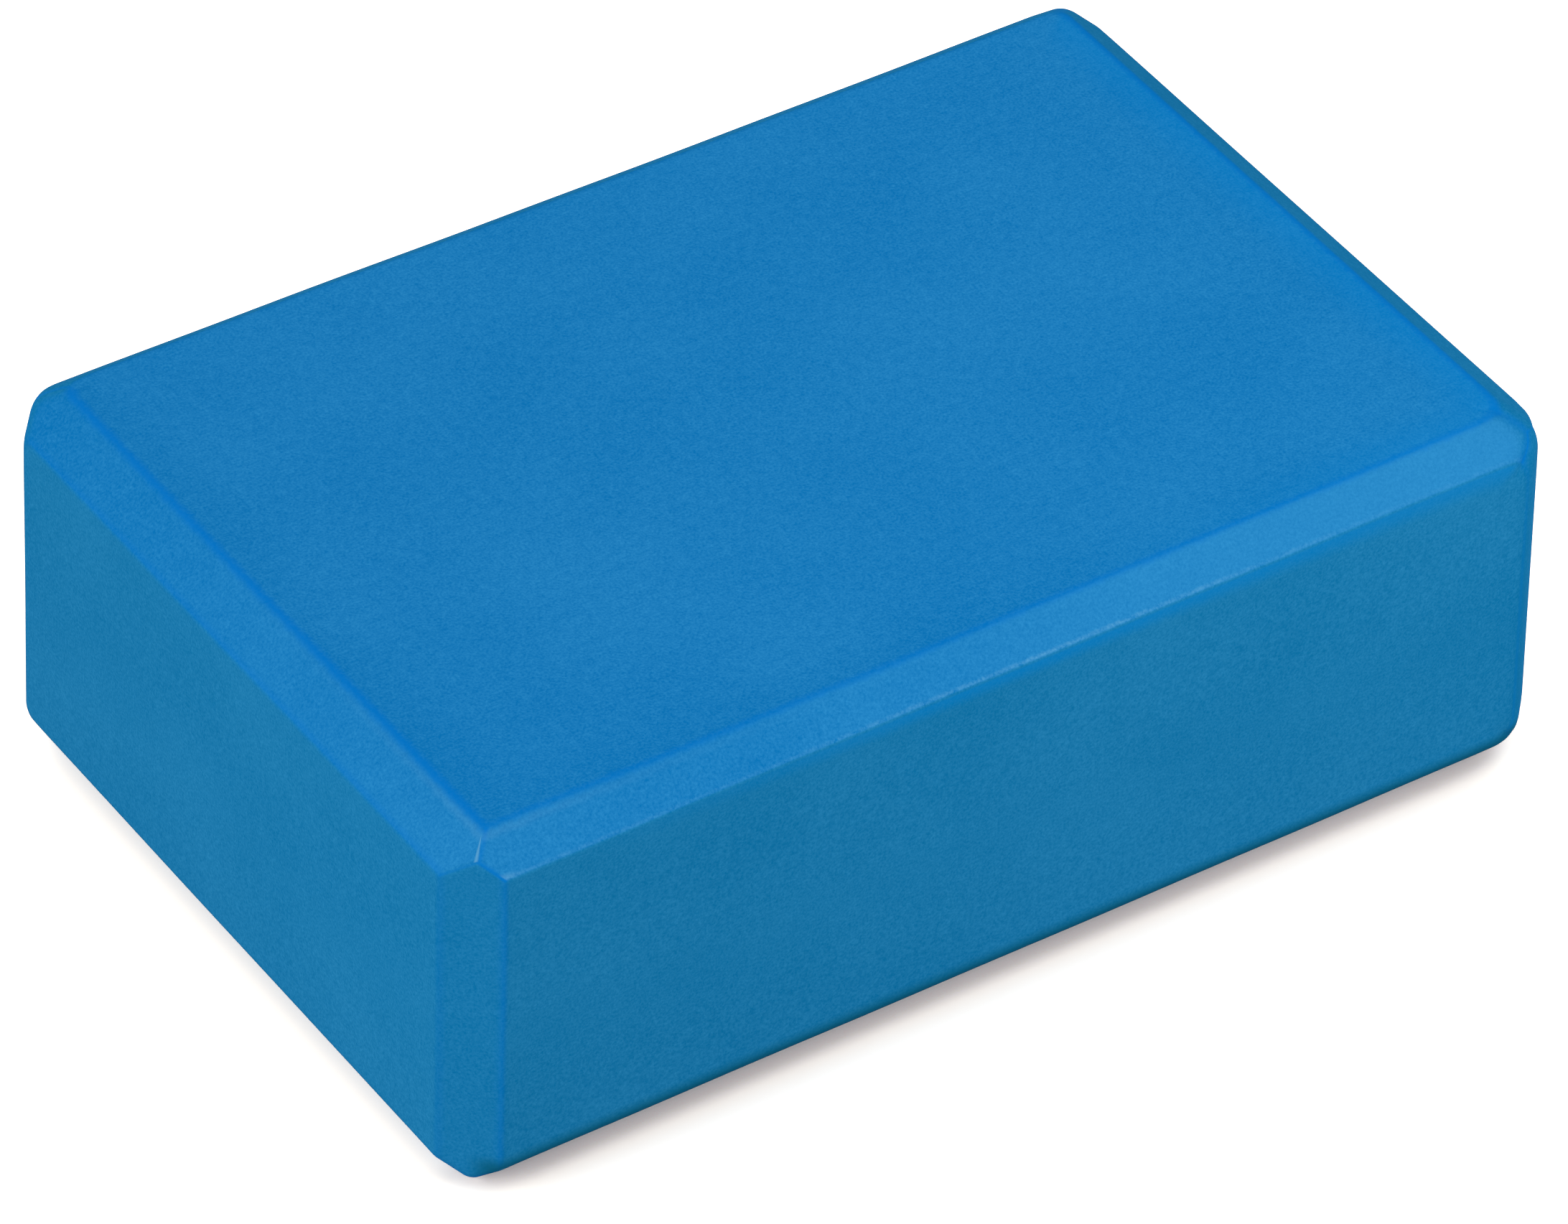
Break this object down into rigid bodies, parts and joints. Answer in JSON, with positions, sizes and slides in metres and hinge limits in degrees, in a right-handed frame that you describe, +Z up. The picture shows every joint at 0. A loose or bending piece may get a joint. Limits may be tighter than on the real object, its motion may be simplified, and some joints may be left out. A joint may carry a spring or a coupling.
{
  "type": "yoga block",
  "caption": "Solid oblong foam block with a flat bevel along every edge and softened mitred corners, used on any face as a prop under a hand, foot, hip or head.",
  "frame": {"origin": "middle of the underside, on the surface that the block lies on", "axes": "+X along the length, +Y across the width, +Z up through the thickness"},
  "size_m": [0.228, 0.152, 0.076],
  "materials": {
    "foam": "matte"
  },
  "bodies": {
    "root": {"foam_block": "foam"}
  },
  "joints": []
}
